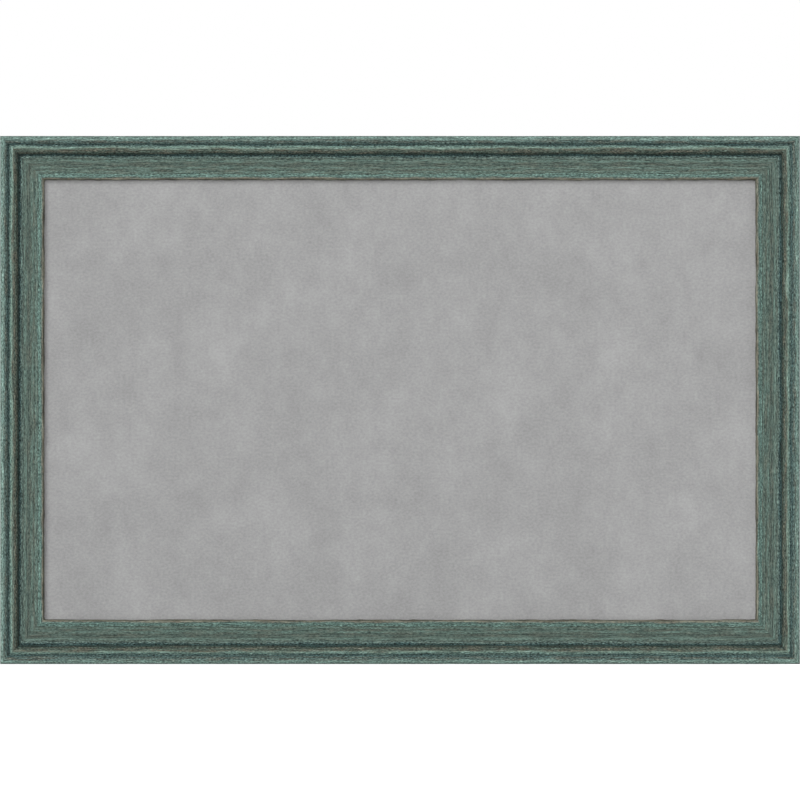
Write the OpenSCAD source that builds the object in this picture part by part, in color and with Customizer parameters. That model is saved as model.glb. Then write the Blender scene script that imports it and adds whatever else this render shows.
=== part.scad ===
// Framed magnetic notice board: a steel writing and magnet sheet in a mitred wood moulding,
// backed with hardboard, closed with a paper dust cover and hung from four D-ring hangers.
// Millimetres. +X right, +Z up, the front looks along -Y. The origin is the middle of the
// wall plane, which the four bumpers touch. Each side of the frame is drawn once, lying along
// the top of its own frame: outer edge at z = 0, width towards -Z, back plane at y = back_y.

/* [Board] */
// Overall width, outer edge to outer edge
board_w = 1118; // [700:1:1500]
// Overall height, outer edge to outer edge
board_h = 738; // [500:1:1000]

/* [Moulding] */
// Face width of the moulding, outer edge to sight edge
moulding_w = 62.2; // [56:0.1:80]
// Thickness of the moulding, back plane to the crown of the outer bead
moulding_d = 27; // [25:0.5:34]
// Radius of the round outer bead
outer_bead_r = 6; // [5:0.1:7]
// Radius of the second bead
second_bead_r = 7.2; // [6:0.1:8]
// How far the second bead's crown lies below the outer bead's
second_bead_drop = 2.5; // [1.5:0.1:3.5]
// How far the floor of the groove between the beads lies below the outer crown
bead_groove_drop = 5.5; // [4.5:0.1:6.5]
// Radius of the deep groove inside the second bead
deep_groove_r = 1.3; // [1:0.1:1.8]
// How far the lowest line of the scooped band lies below the outer crown
band_drop = 11.5; // [11:0.1:12.5]
// How far the band climbs from its lowest line to the lip
band_rise = 3.5; // [2.5:0.1:3.7]
// Distance from the deep groove to the band's lowest line
band_low_run = 11.7; // [8:0.1:16]
// Radius of the rounded lip at the sight edge
lip_r = 4.2; // [3.6:0.1:5]
// How far the lip's crown lies below the outer crown
lip_drop = 7.6; // [7:0.1:8]
// Chamfer along the outer back edge
back_arris = 0.8; // [0.4:0.1:1.5]
// Width of the rabbet that takes the panel
rabbet_w = 6.5; // [5:0.1:9]
// Depth of the rabbet from the back plane
rabbet_d = 11; // [9:0.1:12]

/* [Panel] */
// Thickness of the steel sheet
sheet_t = 0.6; // [0.4:0.1:1.2]
// Thickness of the hardboard behind it
backing_t = 3.2; // [2.5:0.1:4]
// Gap between the panel's edges and the rabbet's walls
panel_gap = 0.8; // [0.4:0.1:0.9]
// Thickness of the paper dust cover
paper_t = 0.25; // [0.15:0.05:0.4]
// Distance from the frame's outer edge to the paper's edge
paper_inset = 3; // [2:0.5:6]

/* [Retaining points] */
// Width of a point
point_w = 6; // [4:0.5:8]
// Thickness of a point
point_t = 0.4; // [0.3:0.05:0.6]
// Length driven into the rabbet's wall
point_in = 6; // [4:0.5:8]
// Length left over the hardboard
point_out = 9; // [6:0.5:12]
// Length of the sharpened tip
point_tip = 2.5; // [1.5:0.5:3]
// Spacing of the points along a side
point_pitch = 140; // [80:5:200]
// Least distance from an end of the rabbet to the first point
point_end = 60; // [40:5:90]

/* [Corner nails] */
// Length of one leg of the V
nail_leg = 6.5; // [4:0.5:8]
// Thickness of the nail's steel
nail_t = 0.5; // [0.4:0.05:0.8]
// Height of the nail along the joint
nail_h = 10; // [7:0.5:10]
// Angle between a leg and the mitre line
nail_angle = 50; // [40:1:60]
// Depth of the nail's end below the back plane
nail_set = 0.5; // [0.2:0.1:1]
// Distance of the outer nail from the two outer edges
nail_outer = 16; // [12:0.5:20]
// Distance of the inner nail from the two outer edges
nail_inner = 40; // [32:0.5:42]

/* [Hangers] */
// Width of the strap
strap_w = 13; // [11:0.5:16]
// Thickness of the strap
strap_t = 1; // [0.8:0.1:1.1]
// Length of the strap below the eye's axis
strap_l = 45; // [42:0.5:55]
// Radius of the strap's rounded end
strap_end_r = 8; // [8:0.5:12]
// Diameter of the ring's wire
wire_d = 2.4; // [2:0.1:2.4]
// Clear width inside the ring beyond the strap's width
ring_slack = 3; // [2.5:0.5:6]
// Centreline length of the ring's straight legs, from the eye's axis to the bow's centre
ring_leg = 5; // [4:0.5:6]
// Centreline radius of the ring's two corners
ring_bend = 2.1; // [1.9:0.1:2.3]
// Distance from the edge that hangs uppermost to a hanger's eye
hanger_drop = 180; // [120:5:230]

/* [Screws] */
// Shank diameter of the hanger screws
screw_d = 3.5; // [3:0.1:4]
// Length of the screws under the head
screw_l = 12.7; // [10:0.1:14]
// Head diameter
screw_head_d = 6.8; // [6:0.1:7.5]
// Head height
screw_head_h = 2.1; // [1.8:0.1:2.6]
// Radius of the head's dome
screw_dome_r = 5; // [4.5:0.1:6]
// Length of the pointed tip
screw_tip = 3; // [2:0.5:4]
// Distance from the eye's axis to the first screw
screw_first = 24; // [23:0.5:25]
// Distance between a strap's two screws
screw_pitch = 14; // [10:0.5:14]
// Length of each arm of the driver's cross, tip to tip
cross_l = 3.6; // [3:0.1:4]
// Width of the driver's cross
cross_w = 0.8; // [0.6:0.1:1]
// Depth of the driver's cross
cross_h = 1; // [0.6:0.1:1.2]

/* [Bumpers] */
// Diameter of a bumper
bumper_d = 12.7; // [10:0.1:16]
// Height of a bumper: it keeps the hangers off the wall
bumper_h = 5; // [5:0.1:8]
// Bevel round a bumper's free face
bumper_bevel = 0.8; // [0.5:0.1:1.5]
// Distance from the two outer edges to a bumper's centre
bumper_inset = 22; // [15:0.5:24]

/* [Clearances] */
// Radial clearance of the ring's wire in the strap's eye
eye_clearance = 0.08; // [0.05:0.01:0.1]
// Lift of the eye off the paper, which keeps the folded ring off its strap
eye_lift = 0.22; // [0.2:0.01:0.24]
// Radial clearance of a screw in the strap's hole
strap_hole_clearance = 0.35; // [0.2:0.05:0.5]
// Radial clearance of a screw in the wood and the paper
pilot_clearance = 0.05; // [0.02:0.01:0.1]
// Clearance all round a nail or a point in its slot
slot_clearance = 0.05; // [0.02:0.01:0.1]

/* [Hidden] */

$fn = 96;
cut = 1;           // how far a cutting body runs past the face it cuts
edge_shave = 0.1;  // flat planed on the side of the outer bead and of the lip
bead_bite = 0.4;   // how far the second bead runs into the outer bead's width
core_step = 0.3;   // core under the band's lowest line

TOP = 0;
RIGHT = 1;
BOTTOM = 2;
LEFT = 3;

// Depths, from the wall forwards (-Y)
paper_y = -bumper_h;                          // back face of the paper
back_y = paper_y - paper_t;                   // back plane of the wood
sheet_y = back_y - rabbet_d;                  // front face of the steel sheet
backing_y = sheet_y + sheet_t;                // front face of the hardboard
point_y = backing_y + backing_t;              // front face of the points

// Moulding profile: u runs inwards from the outer edge, v forwards from the back plane
outer_bead_u = outer_bead_r - edge_shave;
second_bead_u = outer_bead_u + outer_bead_r + second_bead_r - bead_bite;
deep_groove_u = second_bead_u + second_bead_r + bead_bite;
band_v = moulding_d - band_drop;
core_v = band_v - core_step;
deep_groove_v = core_v + deep_groove_r - core_step;
lip_u = moulding_w - lip_r + edge_shave;
lip_v = moulding_d - lip_drop - lip_r;
band_low_u = deep_groove_u + band_low_run;
band_run = lip_u - band_low_u;
scoop_r = (band_run * band_run + band_rise * band_rise) / (2 * band_rise);
rabbet_u = moulding_w - rabbet_w;

// Panel, with its edges a gap inside the rabbet
panel_w = board_w - 2 * (rabbet_u + panel_gap);
panel_h = board_h - 2 * (rabbet_u + panel_gap);

// Hangers
wire_r = wire_d / 2;
eye_r = wire_r + eye_clearance;
eye_out_r = eye_r + strap_t;
eye_y = eye_lift + eye_out_r;                 // height of the eye's axis over the paper
ring_a = (strap_w + ring_slack) / 2 + wire_r; // centreline half-width of the ring
hanger_u = rabbet_u / 2;                      // hangers sit on the middle of the solid wood
hanger_x = board_w / 2 - hanger_u;
hanger_z = board_h / 2 - hanger_u;

function side_length(side) = side % 2 == 0 ? board_w : board_h;
function side_reach(side) = side % 2 == 0 ? board_h / 2 : board_w / 2;
function rabbet_length(side) = side_length(side) - 2 * rabbet_u;
function point_count(side) = floor((rabbet_length(side) - 2 * point_end) / point_pitch) + 1;

// ---- placing ----

// The frame of one side of the board: outer edge up, front still towards -Y
module on_side(side) {
    rotate([0, 90 * side, 0]) translate([0, 0, side_reach(side)]) children();
}

// One of the four corners, mirrored so that the board always lies towards -X and -Z
module on_corner(sx, sz) {
    translate([sx * board_w / 2, 0, sz * board_h / 2])
        mirror([sx < 0 ? 1 : 0, 0, 0]) mirror([0, 0, sz < 0 ? 1 : 0]) children();
}

// A hanger's frame: eye axis along X, strap towards -Z, standing up from the paper to +Y
module on_hanger(side) {
    if (side == LEFT) translate([-hanger_x, paper_y, board_h / 2 - hanger_drop]) children();
    if (side == RIGHT) translate([hanger_x, paper_y, board_h / 2 - hanger_drop]) children();
    if (side == TOP) translate([hanger_drop - board_w / 2, paper_y, hanger_z])
        rotate([0, -90, 0]) children();
    if (side == BOTTOM) translate([hanger_drop - board_w / 2, paper_y, -hanger_z])
        rotate([0, -90, 0]) children();
}

// The points of one side, in that side's frame
module each_point(side) {
    n = point_count(side);
    for (i = [0 : n - 1]) translate([(i - (n - 1) / 2) * point_pitch, 0, 0]) children();
}

// Extrudes an outline drawn in x and z from y0 towards +Y
module slab(y0, thickness) {
    translate([0, y0 + thickness, 0]) rotate([90, 0, 0]) linear_extrude(thickness) children();
}

// ---- moulding ----

// Section of the moulding: outer edge at u = 0, back plane at v = 0
module moulding_profile() {
    difference() {
        intersection() {
            square([moulding_w, moulding_d]);
            union() {
                square([moulding_w, core_v]);
                square([second_bead_u, moulding_d - bead_groove_drop]);
                translate([outer_bead_u, moulding_d - outer_bead_r]) circle(outer_bead_r);
                translate([second_bead_u, moulding_d - second_bead_drop - second_bead_r])
                    circle(second_bead_r);
                difference() {
                    translate([deep_groove_u, 0]) square([lip_u - deep_groove_u, moulding_d]);
                    translate([band_low_u, band_v + scoop_r]) circle(scoop_r, $fn = 256);
                }
                translate([lip_u, lip_v]) circle(lip_r);
            }
        }
        translate([deep_groove_u, deep_groove_v]) circle(deep_groove_r);
        translate([rabbet_u, -cut]) square([rabbet_w + cut, rabbet_d + cut]);
        rotate(45) square(back_arris * sqrt(2), center = true);
    }
}

// A length of moulding mitred at both ends, outer edge along z = 0
module mitred_moulding(length) {
    mitre = moulding_w + cut;
    intersection() {
        translate([-length / 2, back_y, 0]) rotate([0, 90, 0])
            linear_extrude(length) mirror([0, 1]) moulding_profile();
        slab(back_y - moulding_d - cut, moulding_d + 2 * cut)
            polygon([[-length / 2, 0], [length / 2, 0],
                     [length / 2 - mitre, -mitre], [mitre - length / 2, -mitre]]);
    }
}

// One side of the frame, with the slots and pilot holes of everything that is driven into it
module frame_side(side) {
    difference() {
        on_side(side) mitred_moulding(side_length(side));
        on_side(side) each_point(side) point_body(slot_clearance);
        for (sx = [-1, 1], sz = [-1, 1]) corner_nails(sx, sz, slot_clearance, cut);
        on_hanger(side) each_screw() screw_bore(pilot_clearance);
    }
}

module top_rail() { color("#61736b") frame_side(TOP); }
module bottom_rail() { color("#5f716a") frame_side(BOTTOM); }
module left_stile() { color("#657770") frame_side(LEFT); }
module right_stile() { color("#5b6d66") frame_side(RIGHT); }

// ---- panel ----

module panel_outline() { square([panel_w, panel_h], center = true); }

module steel_sheet() { color("#a4a4a4") slab(sheet_y, sheet_t) panel_outline(); }

module backing_board() { color("#7a5a3c") slab(backing_y, backing_t) panel_outline(); }

module dust_cover() {
    color("#b8926a") difference() {
        slab(back_y, paper_t)
            square([board_w - 2 * paper_inset, board_h - 2 * paper_inset], center = true);
        for (side = [TOP, RIGHT, BOTTOM, LEFT]) on_hanger(side) each_screw()
            screw_bore(pilot_clearance);
    }
}

// ---- points and corner nails ----

// A flat point in its side's frame, driven outwards through the rabbet's wall
module point_body(clearance) {
    half = point_w / 2 + clearance;
    slab(point_y - clearance, point_t + 2 * clearance)
        polygon([[-half, -rabbet_u - point_out], [half, -rabbet_u - point_out],
                 [half, -rabbet_u + point_in - point_tip + clearance],
                 [0, -rabbet_u + point_in + clearance],
                 [-half, -rabbet_u + point_in - point_tip + clearance]]);
}

module retaining_points() {
    color("#9a9d9f") for (side = [TOP, RIGHT, BOTTOM, LEFT])
        on_side(side) each_point(side) point_body(0);
}

// The V of a corner nail, its apex on the mitre line and its legs spread towards the sight edge
module nail_outline(clearance) {
    for (turn = [-nail_angle, nail_angle]) rotate(turn - 45)
        translate([-nail_t / 2 - clearance, -nail_leg - clearance])
            square([nail_t + 2 * clearance, nail_leg + nail_t / 2 + 2 * clearance]);
}

// Both nails of one corner; open_end lengthens a slot past the back plane
module corner_nails(sx, sz, clearance, open_end) {
    on_corner(sx, sz) for (inset = [nail_outer, nail_inner]) translate([-inset, 0, -inset])
        slab(back_y - nail_set - nail_h - clearance,
             nail_h + 2 * clearance + (open_end > 0 ? nail_set + open_end : 0))
            nail_outline(clearance);
}

module corner_v_nails() {
    color("#8f9294") for (sx = [-1, 1], sz = [-1, 1]) corner_nails(sx, sz, 0, 0);
}

// ---- hangers ----

// The two screw places of a hanger, on its centre line at the height of the paper
module each_screw() {
    for (i = [0, 1]) translate([0, 0, -screw_first - i * screw_pitch]) children();
}

// Stamped strap with a rolled eye along X
module strap() {
    difference() {
        union() {
            slab(0, strap_t) strap_outline();
            translate([0, eye_y, 0]) rotate([0, 90, 0])
                cylinder(h = strap_w, r = eye_out_r, center = true);
        }
        translate([0, eye_y, 0]) rotate([0, 90, 0])
            cylinder(h = strap_w + 2 * cut, r = eye_r, center = true);
        each_screw() translate([0, -cut, 0]) rotate([-90, 0, 0])
            cylinder(h = strap_t + 2 * cut, r = screw_d / 2 + strap_hole_clearance);
    }
}

module strap_outline() {
    intersection() {
        translate([-strap_w / 2, -strap_l]) square([strap_w, strap_l]);
        union() {
            translate([0, strap_end_r - strap_l]) circle(strap_end_r);
            translate([-strap_w, strap_end_r - strap_l]) square([2 * strap_w, strap_l]);
        }
    }
}

// D-shaped wire ring: a straight bar through the eye, two bent corners, two legs and a bow
module ring() {
    translate([0, eye_y, 0]) {
        rotate([0, 90, 0]) cylinder(h = 2 * (ring_a - ring_bend), r = wire_r, center = true);
        for (side = [-1, 1]) {
            translate([side * (ring_a - ring_bend), 0, -ring_bend])
                rotate([90, 0, 0]) rotate(side > 0 ? 0 : 90) wire_arc(ring_bend, 90);
            translate([side * ring_a, 0, -ring_leg])
                cylinder(h = ring_leg - ring_bend, r = wire_r);
        }
        translate([0, 0, -ring_leg]) rotate([90, 0, 0]) rotate(180) wire_arc(ring_a, 180);
    }
}

// Round wire bent to a centreline radius, from +X round towards +Y
module wire_arc(radius, angle) {
    rotate_extrude(angle = angle) translate([radius, 0]) circle(wire_r, $fn = 48);
}

// Pan head screw standing on the strap, its axis along Y
module screw() {
    translate([0, strap_t, 0]) rotate([-90, 0, 0]) {
        difference() {
            intersection() {
                cylinder(h = screw_head_h, r = screw_head_d / 2);
                translate([0, 0, screw_head_h - screw_dome_r]) sphere(screw_dome_r);
            }
            for (turn = [0, 90]) rotate(turn)
                translate([-cross_l / 2, -cross_w / 2, screw_head_h - cross_h])
                    cube([cross_l, cross_w, cross_h + cut]);
        }
        translate([0, 0, screw_tip - screw_l])
            cylinder(h = screw_l - screw_tip, r = screw_d / 2);
        translate([0, 0, -screw_l])
            cylinder(h = screw_tip, r1 = 0, r2 = screw_d / 2);
    }
}

// The hole that a screw leaves in paper and wood
module screw_bore(clearance) {
    translate([0, strap_t - screw_l - clearance, 0]) rotate([-90, 0, 0])
        cylinder(h = screw_l + cut, r = screw_d / 2 + clearance);
}

module strap_left() { color("#b9bcc0") on_hanger(LEFT) strap(); }
module strap_right() { color("#b9bcc0") on_hanger(RIGHT) strap(); }
module strap_top() { color("#b9bcc0") on_hanger(TOP) strap(); }
module strap_bottom() { color("#b9bcc0") on_hanger(BOTTOM) strap(); }
module ring_left() { color("#c9ccd0") on_hanger(LEFT) ring(); }
module ring_right() { color("#c9ccd0") on_hanger(RIGHT) ring(); }
module ring_top() { color("#c9ccd0") on_hanger(TOP) ring(); }
module ring_bottom() { color("#c9ccd0") on_hanger(BOTTOM) ring(); }

module hanger_screws() {
    color("#a7abb0") for (side = [TOP, RIGHT, BOTTOM, LEFT]) on_hanger(side) each_screw() screw();
}

// ---- bumpers ----

module bumper(sx, sz) {
    r = bumper_d / 2;
    color("#2b2c2d") on_corner(sx, sz) translate([-bumper_inset, paper_y, -bumper_inset])
        rotate([-90, 0, 0]) rotate_extrude()
            polygon([[0, 0], [r, 0], [r, bumper_h - bumper_bevel],
                     [r - bumper_bevel, bumper_h], [0, bumper_h]]);
}

module bumper_top_left() { bumper(-1, 1); }
module bumper_top_right() { bumper(1, 1); }
module bumper_bottom_left() { bumper(-1, -1); }
module bumper_bottom_right() { bumper(1, -1); }

top_rail();
bottom_rail();
left_stile();
right_stile();
steel_sheet();
backing_board();
dust_cover();
corner_v_nails();
retaining_points();
strap_left();
strap_right();
strap_top();
strap_bottom();
ring_left();
ring_right();
ring_top();
ring_bottom();
hanger_screws();
bumper_top_left();
bumper_top_right();
bumper_bottom_left();
bumper_bottom_right();
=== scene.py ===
"""Dresses the framed magnetic notice board.

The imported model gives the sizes. The four mouldings and the paper back are made again as
numpy surfaces, worn and puckered as the real ones are; every other node keeps its own mesh and
gets a finish. Metres, +Z up, the steel sheet faces -Y.
"""
import math

import bpy
import numpy as np
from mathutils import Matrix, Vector
from mathutils.bvhtree import BVHTree


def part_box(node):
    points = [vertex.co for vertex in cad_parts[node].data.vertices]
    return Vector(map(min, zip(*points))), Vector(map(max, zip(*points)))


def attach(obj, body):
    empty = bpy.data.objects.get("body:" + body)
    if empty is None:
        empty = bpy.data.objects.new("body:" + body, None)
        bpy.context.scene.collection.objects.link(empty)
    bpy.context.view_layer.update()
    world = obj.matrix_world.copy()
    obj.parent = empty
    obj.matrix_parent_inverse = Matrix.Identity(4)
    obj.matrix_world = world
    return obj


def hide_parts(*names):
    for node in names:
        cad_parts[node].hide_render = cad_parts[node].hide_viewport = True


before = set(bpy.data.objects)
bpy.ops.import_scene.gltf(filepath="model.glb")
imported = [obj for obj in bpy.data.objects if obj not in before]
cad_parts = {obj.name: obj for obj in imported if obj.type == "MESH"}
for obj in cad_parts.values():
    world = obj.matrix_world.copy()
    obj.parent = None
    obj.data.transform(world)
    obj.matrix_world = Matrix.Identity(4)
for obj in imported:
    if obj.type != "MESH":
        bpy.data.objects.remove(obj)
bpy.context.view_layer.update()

MM = 0.001

# ---- image points: x, y in the photograph's 800 by 800 frame ----

IMAGE_W, IMAGE_H = 800, 800
LONG_SIDE = max(IMAGE_W, IMAGE_H)
EDGES = {"left": 0.0, "right": 800.0, "top": 136.0, "bottom": 664.0}
FEATURES = {
    "first_groove_top_left": (8.5, 144.5),
    "first_groove_top_right": (791.5, 144.5),
    "first_groove_bottom_right": (791.5, 655.5),
    "first_groove_bottom_left": (8.5, 655.5),
    "deep_groove_top_left": (18.5, 154.5),
    "deep_groove_top_right": (781.5, 154.5),
    "deep_groove_bottom_right": (781.5, 645.5),
    "deep_groove_bottom_left": (18.5, 645.5),
    "sight_edge_top_left": (44.5, 180.4),
    "sight_edge_top_right": (755.5, 180.4),
    "sight_edge_bottom_right": (755.5, 619.6),
    "sight_edge_bottom_left": (44.5, 619.6),
}

# ---- camera: straight on from the front, far enough away to show no side walls ----

CAMERA_DISTANCE = 14.0     # from the line where the side walls end, which is the outline
SENSOR_WIDTH = 36.0
CLIP_START, CLIP_END = 0.1, 100

# ---- sizes read from the frame ----

RAIL_LOW, RAIL_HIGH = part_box("top_rail")
SHEET_LOW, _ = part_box("steel_sheet")
PAPER_LOW, PAPER_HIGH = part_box("dust_cover")
HALF_W, HALF_H = RAIL_HIGH.x, RAIL_HIGH.z
BACK_Y = RAIL_HIGH.y                     # back plane of the wood
MOULDING_W = RAIL_HIGH.z - RAIL_LOW.z
MOULDING_D = BACK_Y - RAIL_LOW.y
RABBET_D = BACK_Y - SHEET_LOW.y

# Each side of the frame: the way along it, the way inwards, half its length, and how far its
# outer edge lies from the middle of the board
SIDES = {
    "top_rail": (Vector((1, 0, 0)), Vector((0, 0, -1)), HALF_W, HALF_H),
    "right_stile": (Vector((0, 0, -1)), Vector((-1, 0, 0)), HALF_H, HALF_W),
    "bottom_rail": (Vector((-1, 0, 0)), Vector((0, 0, 1)), HALF_W, HALF_H),
    "left_stile": (Vector((0, 0, 1)), Vector((1, 0, 0)), HALF_H, HALF_W),
}
SIDE_SOLIDS = {node: BVHTree.FromObject(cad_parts[node],
                                        bpy.context.evaluated_depsgraph_get()) for node in SIDES}
SKIM = 0.02 * MM           # rays along an arris start this far inside it


def felt(node, u, v, du, dv):
    """Where a ray through the middle of a CAD side meets it.

    u is the distance inwards from the outer edge and v the height above the back. The ray
    starts at (u, v) and runs along (du, dv).
    """
    _, inward, _, reach = SIDES[node]
    start = inward * (u - reach)
    start.y = BACK_Y - v
    hit = SIDE_SOLIDS[node].ray_cast(start, inward * du + Vector((0, -dv, 0)))[0]
    return reach + inward.dot(hit), BACK_Y - hit.y


SIDE_WALL = felt("top_rail", SKIM, 2 * MOULDING_D, 0, -1)[1]      # height of the side walls
RABBET_U = felt("top_rail", MOULDING_W, RABBET_D / 2, -1, 0)[0]   # outer edge to the hollow


# ---- small helpers ----

def linear(hex_colour):
    """An sRGB hex colour as the linear RGBA that a socket takes."""
    value = [int(hex_colour[i:i + 2], 16) / 255 for i in (1, 3, 5)]
    return (*[c / 12.92 if c <= 0.04045 else ((c + 0.055) / 1.055) ** 2.4 for c in value], 1)


def tones(*stops):
    """The stops of a colour ramp: pairs of a place from 0 to 1 and a hex colour."""
    return [(place, linear(hex_colour)) for place, hex_colour in stops]


def cells(*size):
    """The Mapping scale at which one cell of noise measures size, in millimetres.

    The Location beside it only keeps two patterns of like size from lying over each other.
    """
    return [1 / (s * MM) for s in size]


# A Mix node has inputs that share a name, so they go by number: its share, its two values or
# its two colours. A mixed colour comes out at MIXED_COLOUR.
SHARE, FIRST, SECOND = 0, 2, 3
FIRST_COLOUR, SECOND_COLOUR, MIXED_COLOUR = 6, 7, 2


def add(tree, kind, inputs=None, out=0, stops=(), **settings):
    """Adds a node with its settings and links, and gives its output out.

    inputs maps an input's name or number to a plain value or to another node's output, and
    stops are the places and linear colours of a colour ramp.
    """
    node = tree.nodes.new("ShaderNode" + kind)
    for name, value in settings.items():
        setattr(node, name, value)
    for key, value in (inputs or {}).items():
        if isinstance(value, bpy.types.NodeSocket):
            tree.links.new(value, node.inputs[key])
        else:
            node.inputs[key].default_value = value
    for number, (place, colour) in enumerate(stops):
        band = node.color_ramp.elements
        stop = band[number] if number < len(band) else band.new(1.0)
        stop.position, stop.color = place, colour
    return node.outputs[out] if node.outputs else None


def new_finish(name):
    """A material with an empty tree, and that tree."""
    made = bpy.data.materials.new(name)
    made.use_nodes = True
    made.node_tree.nodes.clear()
    return made, made.node_tree


def mesh_piece(name, points, faces, finishes, face_slots=None, smooth=True):
    """A finished mesh at the origin."""
    mesh = bpy.data.meshes.new(name)
    mesh.from_pydata(points.reshape(-1, 3), [], faces)
    for finish in finishes:
        mesh.materials.append(finish)
    if face_slots is not None:
        mesh.polygons.foreach_set("material_index", np.asarray(face_slots, dtype=np.int32))
    mesh.polygons.foreach_set("use_smooth", np.full(len(mesh.polygons), smooth))
    mesh.update()
    piece = bpy.data.objects.new(name, mesh)
    bpy.context.scene.collection.objects.link(piece)
    return piece


def smooth_noise(rng, shape, reach):
    """Seamless noise of mean 0 and deviation 1, blurred over reach = (rows, columns)."""
    rows = np.fft.fftfreq(shape[0])[:, None]
    columns = np.fft.rfftfreq(shape[1])[None, :]
    weight = np.exp(-2 * (np.pi * rows * reach[0]) ** 2 - 2 * (np.pi * columns * reach[1]) ** 2)
    field = np.fft.irfft2(np.fft.rfft2(rng.standard_normal(shape)) * weight, s=shape)
    return (field - field.mean()) / field.std()


# ---- finishes ----

# The tones of one teal-grey stain, brushed out thin and pale where the wood stands high and
# left thick and dark where it lies low, and of the wood, dry brush and glaze that show on it.
# The pale crests and outer shoulders also carry painted highlight, and the dark inner slopes and
# grooves carry painted shade, alike on all four sides.
HIGH_WASH_AND_HIGHLIGHT = "#718a82"
SLOPE_GLAZE_AND_SHADE = "#526560"
GROOVE_LINE_AND_SHADE = "#405858"
DEEP_SHADE = "#283833"
BAND_WASH = "#5d7069"
BAND_DULL = "#505f58"
BAND_PALE = "#62786f"
RIM_WASH = "#667c75"
BEAD_WASH_AND_HIGHLIGHT = "#6c877e"
CREST_WASH_AND_HIGHLIGHT = "#74887c"
BROWNED_AND_SHADED = "#4e5a51"
BLUE_WASH = "#647e76"
TAN_WEAR = "#79786b"
DARK_EDGE = "#565a4e"
RUBBED_WOOD = "#63574a"
PALE_BRUSH = "#a2beb3"
DEEP_GLAZE = "#2a3938"
# Zones of the moulded face from its outer edge (0) to the sight edge (1): the place, the tone
# there, and the shares of brown wood rubbed bare, pale dry brush, deep glaze and fine pitting
ZONES = [
    (0.00, RIM_WASH, (0.2, 0.5, 0.3, 0.4)),       # outer bead, brushed pale and painted with a highlight
    (0.03, HIGH_WASH_AND_HIGHLIGHT, (0.2, 0.8, 0.3, 0.6)),
    (0.07, HIGH_WASH_AND_HIGHLIGHT, (0.2, 0.8, 0.3, 0.4)),
    (0.12, SLOPE_GLAZE_AND_SHADE, (0.6, 0.3, 0.5, 0.6)),    # its inner slope, glaze and painted shade
    (0.16, SLOPE_GLAZE_AND_SHADE, (0.4, 0.1, 0.6, 0.8)),
    (0.19, GROOVE_LINE_AND_SHADE, (0.1, 0.1, 0.9, 1.0)),    # first groove, a blue-black line of glaze and painted shade
    (0.22, SLOPE_GLAZE_AND_SHADE, (0.1, 0.5, 0.4, 0.8)),
    (0.25, BEAD_WASH_AND_HIGHLIGHT, (0.1, 0.8, 0.2, 0.4)),      # second bead, brushed pale and painted with a highlight
    (0.28, CREST_WASH_AND_HIGHLIGHT, (0.3, 0.5, 0.2, 0.3)),
    (0.305, BROWNED_AND_SHADED, (0.6, 0.4, 0.3, 0.4)),       # its inner slope, with brown wood showing, darkened further as painted shade
    (0.36, BROWNED_AND_SHADED, (0.6, 0.1, 0.7, 0.7)),
    (0.41, DEEP_SHADE, (0.2, 0.0, 1.0, 1.0)),     # deep groove, nearly black
    (0.44, GROOVE_LINE_AND_SHADE, (0.1, 0.2, 1.0, 1.0)),
    (0.48, BAND_WASH, (0.1, 0.4, 0.9, 0.6)),      # scooped band, dull, in long faint stripes
    (0.52, BAND_DULL, (0.2, 0.2, 0.5, 0.3)),
    (0.56, BAND_PALE, (0.2, 0.1, 0.2, 0.0)),
    (0.61, BAND_DULL, (0.3, 0.1, 0.4, 0.1)),
    (0.68, BAND_DULL, (0.3, 0.1, 0.4, 0.1)),
    (0.72, BAND_PALE, (0.3, 0.1, 0.4, 0.1)),
    (0.76, BAND_DULL, (0.4, 0.1, 0.5, 0.2)),
    (0.81, BAND_PALE, (0.3, 0.1, 0.5, 0.2)),
    (0.84, BAND_DULL, (0.3, 0.1, 0.5, 0.4)),
    (0.865, BLUE_WASH, (0.0, 0.4, 0.6, 0.5)),     # bluer strip below the lip
    (0.905, BLUE_WASH, (0.0, 0.4, 0.6, 0.5)),
    (0.93, BAND_WASH, (0.4, 0.1, 0.6, 0.3)),
    (0.955, TAN_WEAR, (0.4, 0.2, 0.2, 0.0)),      # lip, worn to tan
    (1.00, DARK_EDGE, (0.7, 0.0, 0.4, 0.0)),      # its edge, dark brown
]
WANDER, JITTER = 0.13, 0.07     # how far the zones stray, slowly and finely, against the width
WASH_COAT = (0.3, 1.7)          # what is left of a tone where the coat is thickest and thinnest
MARKS_SHARE = 0.58              # of the brush marks in that coat; growth lines are the rest
PITTING = 0.95                  # how far fine pitting darkens and lightens it
LIP_WEAR = 0.9                  # how far wear darkens and lightens the lip


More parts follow.
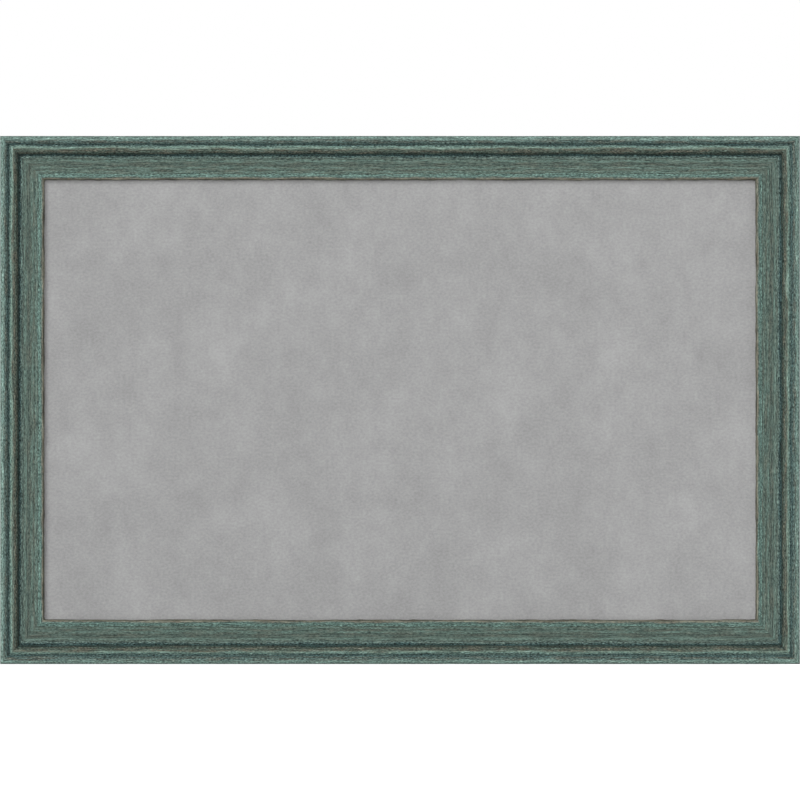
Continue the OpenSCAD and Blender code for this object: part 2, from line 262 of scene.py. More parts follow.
def distressed_stain():
    """Water stain brushed on pine and rubbed back: dull, streaky along the grain, no gloss.

    The zones run across the moulding by its "across" attribute, and wander a little. Their tones
    carry painted highlight on the outer shoulders and crests and painted shade on the inner
    slopes and grooves, over the stain's own tones. Every streak follows the "grain" map, in
    metres along the side and round the section. The "worn" attribute, from -0.5 to 0.5 and 0
    away from the lip, says how pale the lip is rubbed.
    """
    made, tree = new_finish("distressed_teal_stain_on_pine")
    along = add(tree, "UVMap", uv_map="grain")
    across = add(tree, "Attribute", out="Fac", attribute_name="across")
    worn = add(tree, "Attribute", out="Fac", attribute_name="worn")

    # growth lines 34 mm long, and brush marks and pores of a few millimetres
    lines = add(tree, "Mapping", {"Vector": along, "Scale": cells(34, 1.6, 1)})
    lines = add(tree, "TexNoise", {"Vector": lines, "Scale": 1, "Detail": 3, "Roughness": 0.6})
    marks = add(tree, "Mapping", {"Vector": along, "Scale": cells(4.8, 1.4, 1),
                                  "Location": (31, 31, 31)})
    marks = add(tree, "TexNoise", {"Vector": marks, "Scale": 1, "Detail": 3, "Roughness": 0.7})

    # the zones stray by WANDER times a slow noise and JITTER times the brush marks, about 0
    slow = add(tree, "Mapping", {"Vector": along, "Scale": cells(70, 9, 1),
                                 "Location": (11, 11, 11)})
    slow = add(tree, "TexNoise", {"Vector": slow, "Scale": 1, "Detail": 3, "Roughness": 0.65})
    across = add(tree, "Math", {0: across, 1: (WANDER + JITTER) / 2}, operation="SUBTRACT")
    across = add(tree, "Math", {0: slow, 1: WANDER, 2: across}, operation="MULTIPLY_ADD")
    across = add(tree, "Math", {0: marks, 1: JITTER, 2: across}, operation="MULTIPLY_ADD")
    colour = add(tree, "ValToRGB", {0: across},
                 stops=tones(*[(place, tone) for place, tone, _ in ZONES]))
    shares = add(tree, "ValToRGB", {0: across},
                 stops=[(place, zone_shares) for place, _, zone_shares in ZONES])
    rubbed = add(tree, "SeparateColor", {0: shares}, out="Red")
    brushed = add(tree, "SeparateColor", {0: shares}, out="Green")
    glazed = add(tree, "SeparateColor", {0: shares}, out="Blue")
    pitted = shares.node.outputs["Alpha"]

    # wood rubbed bare in patches, most where the brush marks are thin
    patch = add(tree, "Mapping", {"Vector": along, "Scale": cells(32, 4, 1),
                                  "Location": (83, 83, 83)})
    patch = add(tree, "TexNoise", {"Vector": patch, "Scale": 1, "Detail": 2})
    patch = add(tree, "MapRange", {"Value": patch, "From Min": 0.42, "From Max": 0.6},
                interpolation_type="SMOOTHSTEP")
    thin = add(tree, "MapRange", {"Value": marks, "From Min": 0.36, "From Max": 0.6,
                                  "To Min": 0.15, "To Max": 0.95},
               interpolation_type="SMOOTHSTEP")
    bare = add(tree, "Math", {0: patch, 1: thin}, operation="MULTIPLY")
    bare = add(tree, "Math", {0: rubbed, 1: bare}, operation="MULTIPLY")
    colour = add(tree, "Mix", {SHARE: bare, FIRST_COLOUR: colour,
                               SECOND_COLOUR: linear(RUBBED_WOOD)},
                 out=MIXED_COLOUR, data_type="RGBA")

    # pale dabs of a dry brush, in clusters
    cluster = add(tree, "Mapping", {"Vector": along, "Scale": cells(90, 12, 1),
                                    "Location": (47, 47, 47)})
    cluster = add(tree, "TexNoise", {"Vector": cluster, "Scale": 1, "Detail": 2})
    cluster = add(tree, "MapRange", {"Value": cluster, "From Min": 0.35, "From Max": 0.65,
                                     "To Min": 0.35}, interpolation_type="SMOOTHSTEP")
    dab = add(tree, "Mapping", {"Vector": along, "Scale": cells(13, 1.8, 1),
                                "Location": (57, 57, 57)})
    dab = add(tree, "TexNoise", {"Vector": dab, "Scale": 1, "Detail": 2})
    dab = add(tree, "MapRange", {"Value": dab, "From Min": 0.52, "From Max": 0.76},
              interpolation_type="SMOOTHSTEP")
    dab = add(tree, "Math", {0: dab, 1: cluster}, operation="MULTIPLY")
    dab = add(tree, "Math", {0: dab, 1: brushed}, operation="MULTIPLY")
    colour = add(tree, "Mix", {SHARE: dab, FIRST_COLOUR: colour,
                               SECOND_COLOUR: linear(PALE_BRUSH)},
                 out=MIXED_COLOUR, data_type="RGBA")

    # glaze held in the open pores
    pore = add(tree, "Mapping", {"Vector": along, "Scale": cells(12, 1.5, 1),
                                 "Location": (71, 71, 71)})
    pore = add(tree, "TexNoise", {"Vector": pore, "Scale": 1, "Detail": 2})
    pore = add(tree, "MapRange", {"Value": pore, "From Min": 0.5, "From Max": 0.3},
               interpolation_type="SMOOTHSTEP")
    pore = add(tree, "Math", {0: pore, 1: glazed}, operation="MULTIPLY")
    colour = add(tree, "Mix", {SHARE: pore, FIRST_COLOUR: colour,
                               SECOND_COLOUR: linear(DEEP_GLAZE)},
                 out=MIXED_COLOUR, data_type="RGBA")

    # the coat's thickness follows the growth lines, the brush marks and the pits
    coat = add(tree, "Mix", {SHARE: MARKS_SHARE, FIRST: lines, SECOND: marks})
    coat = add(tree, "MapRange", {"Value": coat, "From Min": 0.34, "From Max": 0.66,
                                  "To Min": WASH_COAT[0], "To Max": WASH_COAT[1]},
               interpolation_type="SMOOTHSTEP")
    pits = add(tree, "Mapping", {"Vector": along, "Scale": cells(3.4, 1.3, 1),
                                 "Location": (97, 97, 97)})
    pits = add(tree, "TexNoise", {"Vector": pits, "Scale": 1, "Detail": 1})
    pits = add(tree, "MapRange", {"Value": pits, "From Min": 0.34, "From Max": 0.66,
                                  "To Min": -PITTING, "To Max": PITTING})
    pits = add(tree, "Math", {0: pits, 1: pitted, 2: 1}, operation="MULTIPLY_ADD")
    coat = add(tree, "Math", {0: coat, 1: pits}, operation="MULTIPLY")
    # the lip is rubbed pale in some stretches and left dark in others
    worn = add(tree, "Math", {0: worn, 1: LIP_WEAR, 2: 1}, operation="MULTIPLY_ADD")
    coat = add(tree, "Math", {0: coat, 1: worn}, operation="MULTIPLY")
    colour = add(tree, "VectorMath", {0: colour, "Scale": coat}, operation="SCALE")
    relief = add(tree, "Bump", {"Height": marks, "Distance": 0.12 * MM})
    shader = add(tree, "BsdfPrincipled", {
        "Base Color": colour, "Roughness": 0.8, "Specular IOR Level": 0.15, "Normal": relief})
    add(tree, "OutputMaterial", {"Surface": shader})
    return made


def bare_pine():
    """Planed pine left bare: pale, with fine brown growth lines."""
    made, tree = new_finish("bare_planed_pine")
    lines = add(tree, "Mapping", {"Vector": add(tree, "UVMap", uv_map="grain"),
                                  "Scale": cells(120, 2.2, 1)})
    lines = add(tree, "TexNoise", {"Vector": lines, "Scale": 1, "Detail": 3, "Distortion": 0.4})
    colour = add(tree, "ValToRGB", {0: lines}, stops=tones(
        (0.3, "#8f6f4b"), (0.48, "#b9966a"), (0.7, "#cbab80")))
    relief = add(tree, "Bump", {"Height": lines, "Distance": 0.08 * MM})
    shader = add(tree, "BsdfPrincipled", {
        "Base Color": colour, "Roughness": 0.75, "Normal": relief})
    add(tree, "OutputMaterial", {"Surface": shader})
    return made


BLOTCH_SHARE = 0.31             # of small blotches in the sheet's mottling; clouds are the rest
TOOTH_SHARE = 0.43              # of the fine tooth in its tone; the mottling is the rest


def dull_steel_sheet():
    """Galvanised sheet, passivated: its zinc has dulled to a matt neutral grey film.

    The film, with soft clouds and a fine even tooth, hides the metal, so the shader is not
    metallic.
    """
    made, tree = new_finish("dull_galvanised_sheet")
    place = add(tree, "TexCoord", out="Object")
    cloud = add(tree, "Mapping", {"Vector": place, "Scale": cells(95, 95, 120)})
    cloud = add(tree, "TexNoise", {"Vector": cloud, "Scale": 1, "Detail": 5, "Roughness": 0.62})
    blotch = add(tree, "Mapping", {"Vector": place, "Scale": cells(20, 20, 26),
                                   "Location": (41, 41, 41)})
    blotch = add(tree, "TexNoise", {"Vector": blotch, "Scale": 1, "Detail": 2})
    # the tooth of real sheet is under a millimetre; it is drawn 4 mm long so that it shows
    tooth = add(tree, "Mapping", {"Vector": place, "Scale": cells(4, 4, 3),
                                  "Location": (17, 17, 17)})
    tooth = add(tree, "TexNoise", {"Vector": tooth, "Scale": 1, "Detail": 2, "Roughness": 0.65})
    level = add(tree, "Mix", {SHARE: BLOTCH_SHARE, FIRST: cloud, SECOND: blotch})
    level = add(tree, "Mix", {SHARE: TOOTH_SHARE, FIRST: level, SECOND: tooth})
    colour = add(tree, "ValToRGB", {0: level}, stops=tones(
        (0.33, "#8d8d8d"), (0.5, "#9c9c9c"), (0.67, "#ababab")))
    dullness = add(tree, "MapRange", {"Value": cloud, "From Min": 0.3, "From Max": 0.7,
                                      "To Min": 0.55, "To Max": 0.68})
    relief = add(tree, "Bump", {"Height": tooth, "Distance": 0.03 * MM})
    shader = add(tree, "BsdfPrincipled", {
        "Base Color": colour, "Roughness": dullness, "Specular IOR Level": 0.2, "Normal": relief})
    add(tree, "OutputMaterial", {"Surface": shader})
    return made


def hardboard():
    """Tempered hardboard: smooth dark brown pressed fibre."""
    made, tree = new_finish("pressed_hardboard")
    fibre = add(tree, "Mapping", {"Vector": add(tree, "TexCoord", out="Object"),
                                  "Scale": cells(2, 2, 2)})
    fibre = add(tree, "TexNoise", {"Vector": fibre, "Scale": 1, "Detail": 4, "Roughness": 0.7})
    colour = add(tree, "ValToRGB", {0: fibre}, stops=tones(
        (0.3, "#5a3f29"), (0.55, "#77573a"), (0.75, "#8d6b49")))
    relief = add(tree, "Bump", {"Height": fibre, "Distance": 0.05 * MM})
    shader = add(tree, "BsdfPrincipled", {
        "Base Color": colour, "Roughness": 0.6, "Normal": relief})
    add(tree, "OutputMaterial", {"Surface": shader})
    return made


FIBRE_SHARE = 0.68              # of the fibres in the paper's tone; clouds are the rest


def kraft_paper():
    """Unbleached kraft paper off the roll: warm brown, short fibres, flecks, a soft cockle."""
    made, tree = new_finish("brown_kraft_paper")
    place = add(tree, "TexCoord", out="Object")
    cloud = add(tree, "Mapping", {"Vector": place, "Scale": cells(70, 70, 45)})
    cloud = add(tree, "TexNoise", {"Vector": cloud, "Scale": 1, "Detail": 3, "Roughness": 0.6})
    # fibres are a millimetre or two long; they are drawn 4 mm long so that they show
    fibre = add(tree, "Mapping", {"Vector": place, "Scale": cells(4, 4, 3),
                                  "Location": (19, 19, 19)})
    fibre = add(tree, "TexNoise", {"Vector": fibre, "Scale": 1, "Detail": 5, "Roughness": 0.75,
                                   "Distortion": 1.1})
    level = add(tree, "Mix", {SHARE: FIBRE_SHARE, FIRST: cloud, SECOND: fibre})
    colour = add(tree, "ValToRGB", {0: level}, stops=tones(
        (0.32, "#a07b52"), (0.5, "#b18c63"), (0.68, "#c09c74")))
    fleck = add(tree, "Mapping", {"Vector": place, "Scale": cells(5, 5, 1.6),
                                  "Location": (53, 53, 53)})
    fleck = add(tree, "TexNoise", {"Vector": fleck, "Scale": 1, "Detail": 1, "Distortion": 0.7})
    fleck = add(tree, "MapRange", {"Value": fleck, "From Min": 0.66, "From Max": 0.76,
                                   "To Max": 0.45})
    colour = add(tree, "Mix", {SHARE: fleck, FIRST_COLOUR: colour,
                               SECOND_COLOUR: linear("#7c5b39")},
                 out=MIXED_COLOUR, data_type="RGBA")
    cockle = add(tree, "Mapping", {"Vector": place, "Scale": cells(16, 16, 24),
                                   "Location": (5, 5, 5)})
    cockle = add(tree, "TexNoise", {"Vector": cockle, "Scale": 1, "Detail": 1})
    relief = add(tree, "Bump", {"Height": cockle, "Distance": 0.5 * MM})
    relief = add(tree, "Bump", {"Height": fibre, "Distance": 0.04 * MM, "Normal": relief})
    shader = add(tree, "BsdfPrincipled", {
        "Base Color": colour, "Roughness": 0.62, "Specular IOR Level": 0.35, "Normal": relief})
    add(tree, "OutputMaterial", {"Surface": shader})
    return made


def bright_steel():
    """Plain cold-rolled steel: grey, fine rolling lines, a low shine."""
    made, tree = new_finish("cold_rolled_steel")
    lines = add(tree, "Mapping", {"Vector": add(tree, "TexCoord", out="Object"),
                                  "Scale": cells(8, 1, 0.6)})
    lines = add(tree, "TexNoise", {"Vector": lines, "Scale": 1, "Detail": 2})
    colour = add(tree, "ValToRGB", {0: lines}, stops=tones((0.3, "#85878a"), (0.7, "#a3a5a8")))
    shader = add(tree, "BsdfPrincipled", {
        "Base Color": colour, "Metallic": 1.0, "Roughness": 0.38})
    add(tree, "OutputMaterial", {"Surface": shader})
    return made


def zinc_plate():
    """Bright zinc plate on stamped steel and wire: pale, slightly blue, soft shine."""
    made, tree = new_finish("bright_zinc_plate")
    place = add(tree, "TexCoord", out="Object")
    cloud = add(tree, "Mapping", {"Vector": place, "Scale": cells(4, 4, 4)})
    cloud = add(tree, "TexNoise", {"Vector": cloud, "Scale": 1, "Detail": 3})
    scuff = add(tree, "Mapping", {"Vector": place, "Scale": cells(0.5, 0.5, 0.5),
                                  "Location": (5, 5, 5)})
    scuff = add(tree, "TexNoise", {"Vector": scuff, "Scale": 1, "Detail": 2})
    colour = add(tree, "ValToRGB", {0: cloud}, stops=tones((0.3, "#999ea4"), (0.7, "#b9bdc2")))
    polish = add(tree, "MapRange", {"Value": cloud, "From Min": 0.3, "From Max": 0.7,
                                    "To Min": 0.24, "To Max": 0.36})
    relief = add(tree, "Bump", {"Height": scuff, "Distance": 0.01 * MM})
    shader = add(tree, "BsdfPrincipled", {
        "Base Color": colour, "Metallic": 1.0, "Roughness": polish, "Normal": relief})
    add(tree, "OutputMaterial", {"Surface": shader})
    return made


def black_rubber():
    """Moulded rubber: near black, dull, with a fine tooth and a little grey bloom."""
    made, tree = new_finish("moulded_black_rubber")
    place = add(tree, "TexCoord", out="Object")
    tooth = add(tree, "Mapping", {"Vector": place, "Scale": cells(0.4, 0.4, 0.4)})
    tooth = add(tree, "TexNoise", {"Vector": tooth, "Scale": 1, "Detail": 2})
    bloom = add(tree, "Mapping", {"Vector": place, "Scale": cells(5, 5, 5),
                                  "Location": (3, 3, 3)})
    bloom = add(tree, "TexNoise", {"Vector": bloom, "Scale": 1, "Detail": 3})
    colour = add(tree, "ValToRGB", {0: bloom}, stops=tones((0.35, "#242526"), (0.7, "#343638")))
    relief = add(tree, "Bump", {"Height": tooth, "Distance": 0.03 * MM})
    shader = add(tree, "BsdfPrincipled", {
        "Base Color": colour, "Roughness": 0.8, "Normal": relief})
    add(tree, "OutputMaterial", {"Surface": shader})
    return made


# ---- camera and image points ----

def make_camera():
    """Aimed at the middle of the outline, its lens set by the outline's width in the photo."""
    data = bpy.data.cameras.new("camera")
    data.sensor_fit = "AUTO"
    data.sensor_width = SENSOR_WIDTH
    shown = (EDGES["right"] - EDGES["left"]) / LONG_SIDE
    data.lens = SENSOR_WIDTH * shown * CAMERA_DISTANCE / (2 * HALF_W)
    metres_per_pixel = 2 * HALF_W / (EDGES["right"] - EDGES["left"])
    aim_x = (IMAGE_W / 2 - (EDGES["left"] + EDGES["right"]) / 2) * metres_per_pixel
    aim_z = ((EDGES["top"] + EDGES["bottom"]) / 2 - IMAGE_H / 2) * metres_per_pixel
    made = bpy.data.objects.new("camera", data)
    bpy.context.scene.collection.objects.link(made)
    made.location = (aim_x, BACK_Y - SIDE_WALL - CAMERA_DISTANCE, aim_z)
    made.rotation_euler = (math.radians(90), 0, 0)
    data.clip_start, data.clip_end = CLIP_START, CLIP_END
    bpy.context.scene.camera = made
    bpy.context.view_layer.update()
    return made


def image_points(points):
    """The image x and y at which the camera sees each row of points."""
    data = camera.data
    view = np.array(camera.matrix_world.inverted())
    local = points @ view[:3, :3].T + view[:3, 3]
    scale = LONG_SIDE * data.lens / data.sensor_width / -local[:, 2]
    x = IMAGE_W / 2 - data.shift_x * LONG_SIDE + scale * local[:, 0]
    y = IMAGE_H / 2 + data.shift_y * LONG_SIDE - scale * local[:, 1]
    return x, y


# ---- mouldings ----

FACE_STEPS = 76                 # places across the moulded face
WALL_STEPS = 9                  # places up the outer side wall
LENGTH_STEP = 1.35 * MM         # spacing of the rows along a side
BACK_ARRIS = 0.8 * MM           # bevel where the side wall meets the back
MITRE_FADE = 4 * MM             # relief dies away this close to a mitre, so the corners close
MAP_SHIFT = (3.1, 1.0)          # metres from one side's grain map to the next one's
# The section's point where the sight edge meets the sheet. From there on, round the rabbet and
# over the back, the wood is bare.
WALL_FOOT = -4

# Relief and wear are noise. A reach is how far it is blurred, in rows along the side and in
# points round the section, and a swell is a slower noise that counts for so much beside it.
RAISED_GRAIN, GRAIN_REACH = 0.05 * MM, (9, 0.7)
DENT_DEPTH, DENT_REACH = 0.3 * MM, (1.6, 1.3)
DENT_FROM, DENT_FULL = 2.1, 3.6     # of the noise's deviations: a dent starts, and is deepest
EDGE_CHIP, CHIP_REACH = 1.6 * MM, (3.0, 0.6)
CHIP_SWELL, CHIP_SWELL_REACH = 0.8, (14, 3)
CHIP_MEAN, CHIP_SPREAD = 0.45, 0.15     # how much of EDGE_CHIP is gone, and how that varies
LIP_WIDTH = 1.7 * MM            # of the lip that chips, centred LIP_INSET from the sight edge
LIP_INSET = 0.4 * MM
WEAR_SPREAD, WEAR_REACH = 0.26, (3.3, 0.6)
WEAR_SWELL, WEAR_SWELL_REACH = 0.9, (9, 1)
WEAR_LIMIT = 0.5
WORN_WIDTH = 2.0 * MM           # of the strip whose tone varies, centred WORN_INSET from that edge
WORN_INSET = 1.4 * MM


def section(node):
    """The closed outline of a moulding: across, height, and 1 where the wood is bare.

    It goes up the side wall, over the moulded face as rays feel it on the CAD side, down the
    sight edge and back round the rabbet.
    """
    across = np.linspace(SKIM, MOULDING_W - SKIM, FACE_STEPS)
    height = np.array([felt(node, u, 2 * MOULDING_D, 0, -1)[1] for u in across])
    across[0], across[-1] = 0, MOULDING_W
    wall = np.linspace(BACK_ARRIS, height[0], WALL_STEPS, endpoint=False)
    u = np.concatenate([[BACK_ARRIS], np.zeros(WALL_STEPS), across,
                        [MOULDING_W, MOULDING_W, RABBET_U, RABBET_U, 0.5 * RABBET_U]])
    v = np.concatenate([[0], wall, height,
                        [(height[-1] + RABBET_D) / 2, RABBET_D, RABBET_D, 0, 0]])
    bare = np.zeros(len(u))
    bare[0] = 1
    bare[WALL_FOOT:] = 1
    return u, v, bare


def moulding(node, seed, stained, raw):
    """One mitred side: the section carried along it from one mitre to the other.

    A row at parameter t from -1 to 1 lies at t times (half length - distance across), so the
    ends fall on the 45 degree mitres. Relief moves each point along the section's own normal:
    raised grain, scattered dents, and chips that eat into the lip's worn edge. Along a strip
    by that edge, a bell curve across the section, "worn" says how pale the lip is rubbed. The
    "grain" map is the distance along the side and the distance travelled round the section.
    """
    along, inward, half, reach = SIDES[node]
    rng = np.random.default_rng(seed)
    u, v, bare = section(node)
    rows, columns = int(2 * half / LENGTH_STEP), len(u)
    shape = (rows, columns)
    place = np.linspace(-1, 1, rows)[:, None] * (half - u)[None, :]
    # the section's normal, pointing out of the wood
    du, dv = np.gradient(u), np.gradient(v)
    normal_u, normal_v = -dv / np.hypot(du, dv), du / np.hypot(du, dv)
    normal_u[WALL_FOOT], normal_v[WALL_FOOT] = 1, 0
    moved = 1 - bare
    moved[WALL_FOOT] = 1
    grain_relief = RAISED_GRAIN * smooth_noise(rng, shape, GRAIN_REACH)
    dents = smooth_noise(rng, shape, DENT_REACH)
    dents = -DENT_DEPTH * np.clip((dents - DENT_FROM) / (DENT_FULL - DENT_FROM), 0, 1)
    ragged = smooth_noise(rng, shape, CHIP_REACH)
    ragged = ragged + CHIP_SWELL * smooth_noise(rng, shape, CHIP_SWELL_REACH)
    lip = np.exp(-((u - (MOULDING_W - LIP_INSET)) / LIP_WIDTH) ** 2)[None, :]
    chips = np.clip(ragged * CHIP_SPREAD + CHIP_MEAN, 0, 1) * lip
    wear = smooth_noise(rng, shape, WEAR_REACH)
    wear = wear + WEAR_SWELL * smooth_noise(rng, shape, WEAR_SWELL_REACH)
    worn_lip = np.exp(-((u - (MOULDING_W - WORN_INSET)) / WORN_WIDTH) ** 2)[None, :]
    worn = np.clip(wear * WEAR_SPREAD, -WEAR_LIMIT, WEAR_LIMIT) * worn_lip
    fade = np.clip((half - u[None, :] - np.abs(place)) / MITRE_FADE, 0, 1)
    relief = (grain_relief + dents - EDGE_CHIP * chips) * fade * moved[None, :]
    across_now = np.clip(u + relief * normal_u, 0, MOULDING_W)
    height_now = np.clip(v + relief * normal_v, 0, MOULDING_D)
    points = (place[..., None] * np.array(along)
              - (reach - across_now)[..., None] * np.array(inward))
    points[..., 1] = BACK_Y - height_now
    # a quad between each row and the next, and a face at each mitre
    row, column = np.meshgrid(np.arange(rows - 1), np.arange(columns), indexing="ij")
    after = (column + 1) % columns
    corners = np.stack([row * columns + column, row * columns + after,
                        (row + 1) * columns + after, (row + 1) * columns + column], axis=-1)
    ring = np.arange(columns)
    faces = corners.reshape(-1, 4).tolist()
    faces += [ring[::-1].tolist(), (ring + (rows - 1) * columns).tolist()]
    slots = (bare[column] * bare[after]).astype(int).reshape(-1).tolist() + [1, 1]
    piece = mesh_piece("dressed_" + node, points, faces, [stained, raw], slots)
    mesh = piece.data
    # the grain map, its own on each side
    travelled = np.concatenate([[0], np.cumsum(np.hypot(np.diff(u), np.diff(v)))])
    spot = np.stack([place + seed * MAP_SHIFT[0],
                     np.broadcast_to(travelled, shape) + seed * MAP_SHIFT[1]], axis=-1)
    loops = np.empty(len(mesh.loops), dtype=np.int32)
    mesh.loops.foreach_get("vertex_index", loops)
    layer = mesh.uv_layers.new(name="grain")
    layer.data.foreach_set("uv", spot.reshape(-1, 2)[loops].reshape(-1).astype(np.float32))
    for name, values in (("across", np.broadcast_to(u / MOULDING_W, shape)), ("worn", worn)):
        attribute = mesh.attributes.new(name, "FLOAT", "POINT")
        attribute.data.foreach_set("value", values.reshape(-1).astype(np.float32))
    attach(piece, "board")
    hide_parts(node)
    return piece


# ---- paper back ----

PAPER_STEP = 5 * MM
CREASE_WIDTH = 3.5 * MM         # over which the paper sinks off the wood's inner edge
CREASE_LINES = 9                # grid lines across each crease
PAPER_SAG = 1.5 * MM
PAPER_SEED = 11
WAVES = 6                       # long waves that run over the sheet
WAVE_HEIGHT = 0.175 * MM        # of each
WAVE_REACH = (22 * MM, 60 * MM)     # the run of one radian of a wave, at least and at most
WAVE_START = 6                  # radians by which they start apart, at most
PUCKER_HEIGHT = 1.0 * MM        # of the puckers that fan from each corner of the hollow
PUCKER_REACH = 90 * MM
PUCKER_START = 18 * MM          # they rise over this distance from the corner
PUCKERS = 15                    # to a full turn
PUCKER_TURN = (0.4, 0.7)        # radians that set the corners' puckers apart, in x and in z


def paper_lines(low, high, crease):
    """Places for grid lines from low to high, closer together across the creases at -+crease."""
    even = np.arange(low, high - PAPER_STEP / 2, PAPER_STEP)
    fold = np.linspace(0, 1, CREASE_LINES) * CREASE_WIDTH
    near = np.concatenate([crease - fold, fold - crease])
    clear = np.abs(even[:, None] - near[None, :]).min(axis=1) > PAPER_STEP / 3
    return np.unique(np.concatenate([[low], even[clear], near, [high]]))


def paper_sink(x, z):
    """How far the paper lies below its glued rim at x, z.

    Inside the wood it sinks by the sag, times an S curve across the crease. Long waves, the sum
    of sines in seeded directions, run over it, and puckers, a sine of the angle about each
    corner of the hollow, die away with the distance from that corner.
    """
    rng = np.random.default_rng(PAPER_SEED)
    inside = [np.clip((half - RABBET_U - np.abs(place)) / CREASE_WIDTH, 0, 1)
              for half, place in ((HALF_W, x), (HALF_H, z))]
    hollow = inside[0] * inside[1]
    hollow = hollow * hollow * (3 - 2 * hollow)
    turns = rng.uniform(0, math.pi, WAVES)
    reaches = rng.uniform(*WAVE_REACH, WAVES)
    starts = rng.uniform(0, WAVE_START, WAVES)
    waves = sum(np.sin((x * math.cos(turn) + z * math.sin(turn)) / reach + start)
                for turn, reach, start in zip(turns, reaches, starts))
    corner_x = HALF_W - RABBET_U - np.abs(x)
    corner_z = HALF_H - RABBET_U - np.abs(z)
    away = np.hypot(corner_x, corner_z)
    turned = np.arctan2(corner_z, corner_x)
    turned += np.sign(x) * PUCKER_TURN[0] + np.sign(z) * PUCKER_TURN[1]
    puckers = np.sin(PUCKERS * turned + away / PUCKER_START) * np.exp(-away / PUCKER_REACH)
    puckers *= np.clip(away / PUCKER_START, 0, 1)
    return hollow * (PAPER_SAG + WAVE_HEIGHT * waves + PUCKER_HEIGHT * puckers)


def paper_back(finish):
    """Kraft paper glued to the rails and drawn tight over the hollow behind the hardboard.

    The sheet is two grids, the paper's thickness apart, joined round their edges. Each point
    moves into the hollow by paper_sink of its x and z.
    """
    low, high = PAPER_LOW, PAPER_HIGH
    across = paper_lines(low.x, high.x, HALF_W - RABBET_U)
    up = paper_lines(low.z, high.z, HALF_H - RABBET_U)
    x, z = np.meshgrid(across, up)
    rows, columns = x.shape
    sink = paper_sink(x, z)
    top = np.stack([x, high.y - sink, z], axis=-1).reshape(-1, 3)
    under = np.stack([x, low.y - sink, z], axis=-1).reshape(-1, 3)
    row, column = np.meshgrid(np.arange(rows - 1), np.arange(columns - 1), indexing="ij")
    first = (row * columns + column).reshape(-1)
    quad = np.stack([first, first + columns, first + columns + 1, first + 1], axis=-1)
    rim = np.concatenate([np.arange(columns - 1), np.arange(rows - 1) * columns + columns - 1,
                          (rows - 1) * columns + np.arange(columns - 1, 0, -1),
                          np.arange(rows - 1, 0, -1) * columns])
    after = np.roll(rim, -1)
    edge = np.stack([rim, after, after + len(top), rim + len(top)], axis=-1)
    faces = np.concatenate([quad, quad[:, ::-1] + len(top), edge]).tolist()
    piece = mesh_piece("papered_back", np.concatenate([top, under]), faces, [finish])
    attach(piece, "board")
    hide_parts("dust_cover")


# ---- studio ----

FLOOR_HALF = 30.0
FLOOR_TONE = "#e7e7e7"
FLOOR_GLOW = 0.56               # what the floor adds to itself where the camera sees it
WIDE_LAMP, NARROW_LAMP = math.radians(44), math.radians(30)
# The share of the light on a surface that faces the camera, from each source: together, 1
KEY_SHARE, FRONT_SHARE, ROOM_SHARE = 0.37, 0.37, 0.26
BACK_SHARE = 0.74               # the back lamp's, on a surface that faces the wall


def lamp(name, towards, share, spread=WIDE_LAMP):
    """A soft distant lamp along towards, which gives an upright surface that share of light."""
    data = bpy.data.lights.new(name, "SUN")
    towards = Vector(towards).normalized()
    data.energy = share * math.pi / abs(towards.y)
    data.angle = spread
    made = bpy.data.objects.new(name, data)
    made.rotation_euler = towards.to_track_quat("-Z", "Y").to_euler()
    bpy.context.scene.collection.objects.link(made)


def seen_directly(tree):
    """1 for what the camera sees, directly or in gloss and glass, and 0 for diffuse light."""
    camera_ray = add(tree, "LightPath", out="Is Camera Ray")
    glossy_ray = add(tree, "LightPath", out="Is Glossy Ray")
    glass_ray = add(tree, "LightPath", out="Is Transmission Ray")
    mirrored = add(tree, "Math", {0: glossy_ray, 1: glass_ray}, operation="MAXIMUM")
    return add(tree, "Math", {0: camera_ray, 1: mirrored}, operation="MAXIMUM")


def studio():
    """A pale floor under the board, soft lamps in front and behind, and an even white room."""
    lamp("key_lamp", (0.75, 1, -0.75), KEY_SHARE, NARROW_LAMP)
    lamp("front_lamp", (0, 1, -0.1), FRONT_SHARE, NARROW_LAMP)
    lamp("back_lamp", (-0.6, -1, -0.2), BACK_SHARE)
    world = bpy.data.worlds.new("white_room")
    bpy.context.scene.world = world
    world.use_nodes = True
    world.node_tree.nodes.clear()
    tree = world.node_tree
    strength = add(tree, "MapRange", {"Value": seen_directly(tree), "To Min": ROOM_SHARE})
    room = add(tree, "Background", {"Color": (1, 1, 1, 1), "Strength": strength})
    add(tree, "OutputWorld", {"Surface": room})
    pale_floor, tree = new_finish("pale_floor")
    glow = add(tree, "Math", {0: seen_directly(tree), 1: FLOOR_GLOW}, operation="MULTIPLY")
    shader = add(tree, "BsdfPrincipled", {
        "Base Color": linear(FLOOR_TONE), "Roughness": 0.9,
        "Emission Color": (1, 1, 1, 1), "Emission Strength": glow})
    add(tree, "OutputMaterial", {"Surface": shader})
    corners = np.array([[-1, -1], [1, -1], [1, 1], [-1, 1]]) * FLOOR_HALF
    corners = np.column_stack([corners, np.full(4, -HALF_H)])
    mesh_piece("floor", corners, [[0, 1, 2, 3]], [pale_floor], smooth=False)


def dress(finish, *nodes):
    """Gives CAD nodes a finish."""
    for name in nodes:
        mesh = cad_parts[name].data
        mesh.materials.clear()
        mesh.materials.append(finish)


# ---- the board ----

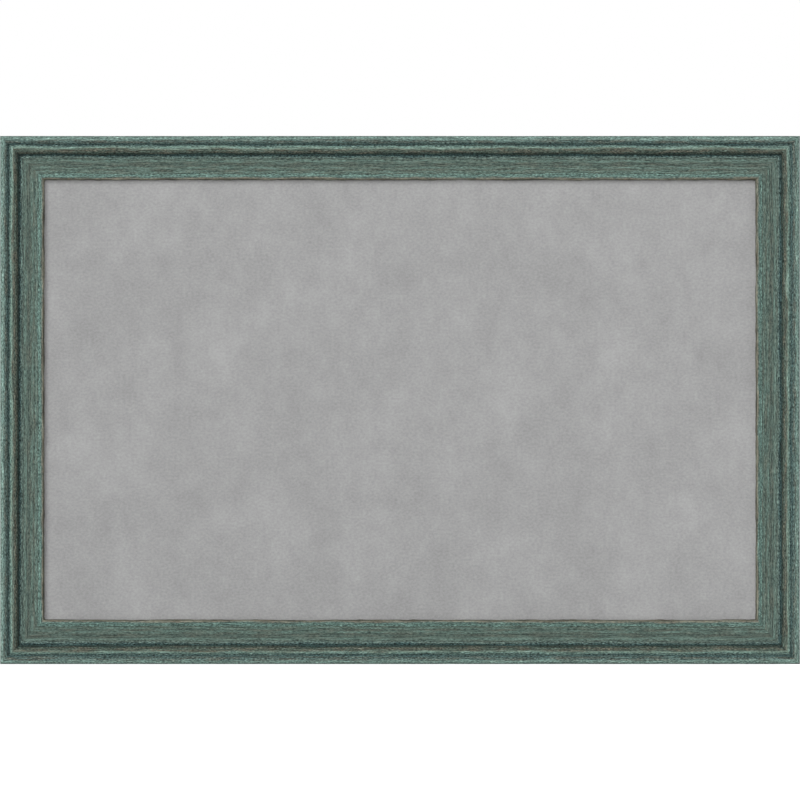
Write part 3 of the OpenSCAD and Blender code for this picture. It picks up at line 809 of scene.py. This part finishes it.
camera = make_camera()
stain, pine = distressed_stain(), bare_pine()
sides = {node: moulding(node, seed, stain, pine) for seed, node in enumerate(SIDES, 1)}
paper_back(kraft_paper())
dress(dull_steel_sheet(), "steel_sheet")
dress(hardboard(), "backing_board")
dress(bright_steel(), "corner_v_nails", "retaining_points")
dress(zinc_plate(), "hanger_screws", *[f"{part}_{side}" for part in ("strap", "ring")
                                       for side in ("left", "right", "top", "bottom")])
dress(black_rubber(), *[f"bumper_{up}_{side}" for up in ("top", "bottom")
                        for side in ("left", "right")])
studio()

bpy.context.scene.view_settings.view_transform = "Standard"

# ---- measures, worked out and never acted on ----

# Where each groove is looked for, as shares of the moulding's width
GROOVES = {"first_groove": (0.12, 0.25), "deep_groove": (0.33, 0.50)}


def finished_points(piece):
    """The finished vertices of a piece, as rows of x, y, z."""
    points = np.empty(len(piece.data.vertices) * 3)
    piece.data.vertices.foreach_get("co", points)
    return points.reshape(-1, 3)


def write_points():
    """Works out how far in x and y each thing shows from its image point; nothing is printed or
    returned.

    An edge is the furthest finished vertex. A groove is the lowest vertex between its limits,
    and the sight edge the innermost on the moulded face, both on the mitre's row.
    """
    outline = np.concatenate([finished_points(piece) for piece in sides.values()])
    x, y = image_points(outline)
    found = {"left": x.min(), "right": x.max(), "top": y.min(), "bottom": y.max()}
    off = {"edge_" + side: round(float(found[side] - EDGES[side]), 2) for side in EDGES}
    u, v, _ = section("top_rail")
    face = (np.arange(len(u)) > WALL_STEPS) & (np.arange(len(u)) <= WALL_STEPS + FACE_STEPS)
    columns = {"sight_edge": np.flatnonzero(face)[-1]}
    for groove, (low, high) in GROOVES.items():
        here = face & (u > low * MOULDING_W) & (u < high * MOULDING_W)
        columns[groove] = np.flatnonzero(here)[v[here].argmin()]
    top = finished_points(sides["top_rail"]).reshape(-1, len(u), 3)
    bottom = finished_points(sides["bottom_rail"]).reshape(-1, len(u), 3)
    mitres = {"top_left": top[0], "top_right": top[-1],
              "bottom_right": bottom[0], "bottom_left": bottom[-1]}
    for name, (point_x, point_y) in FEATURES.items():
        feature, corner = next((f, c) for f in columns for c in mitres if name == f"{f}_{c}")
        x, y = image_points(mitres[corner][columns[feature]][None, :])
        off[name] = [round(float(x[0] - point_x), 2), round(float(y[0] - point_y), 2)]


write_points()
